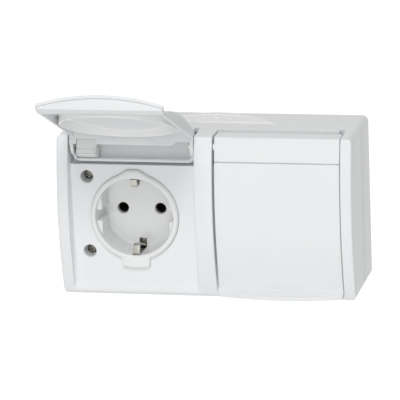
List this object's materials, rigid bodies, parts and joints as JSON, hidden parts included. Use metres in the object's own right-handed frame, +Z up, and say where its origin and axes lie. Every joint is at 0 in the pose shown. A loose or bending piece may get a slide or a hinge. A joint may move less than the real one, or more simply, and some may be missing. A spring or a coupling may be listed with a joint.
{
  "type": "double weatherproof socket",
  "caption": "Wall-mounted double earthed socket in a sealed white housing with hinged lids over round recessed wells.",
  "frame": {"origin": "on the wall face, at the middle of the housing's width and height", "axes": "+X to the right along the housing, +Y into the wall, +Z up; the front faces -Y"},
  "size_m": [0.147, 0.1098, 0.1166],
  "materials": {
    "housing_white": "smooth semi-gloss moulded thermoplastic",
    "insert_white": "smooth gloss moulded thermoplastic",
    "carrier_grey": "matt moulded thermoset",
    "seal_white": "smooth soft elastomer",
    "seal_grey": "matt soft elastomer",
    "brass": "stamped brass",
    "steel": "nickel plated steel"
  },
  "bodies": {
    "housing": {"base_box": "housing_white", "frame_gasket": "seal_grey", "front_frame": "housing_white", "cover_screws": "steel", "cable_entry_seal": "seal_white", "left_socket_insert": "insert_white", "right_socket_insert": "insert_white", "left_contact_carrier": "carrier_grey", "right_contact_carrier": "carrier_grey", "left_live_contact": "brass", "left_neutral_contact": "brass", "right_live_contact": "brass", "right_neutral_contact": "brass", "left_earth_clip": "steel", "right_earth_clip": "steel", "live_link": "brass", "neutral_link": "brass", "earth_link": "brass", "terminal_cages": "steel", "terminal_screws": "steel", "left_hinge_pins": "steel", "right_hinge_pins": "steel"},
    "left_cover": {"left_lid": "housing_white", "left_lid_seal": "seal_white", "left_brake_block": "insert_white"},
    "right_cover": {"right_lid": "housing_white", "right_lid_seal": "seal_white", "right_brake_block": "insert_white"}
  },
  "joints": [
    {"name": "left_lid_hinge", "type": "hinge", "parent": "housing", "child": "left_cover", "pos_m": [-0.03612, -0.0436, 0.035], "axis": [-1, 0, 0], "range_deg": [-114, 0]},
    {"name": "right_lid_hinge", "type": "hinge", "parent": "housing", "child": "right_cover", "pos_m": [0.03612, -0.0436, 0.035], "axis": [-1, 0, 0], "range_deg": [0, 114]}
  ]
}
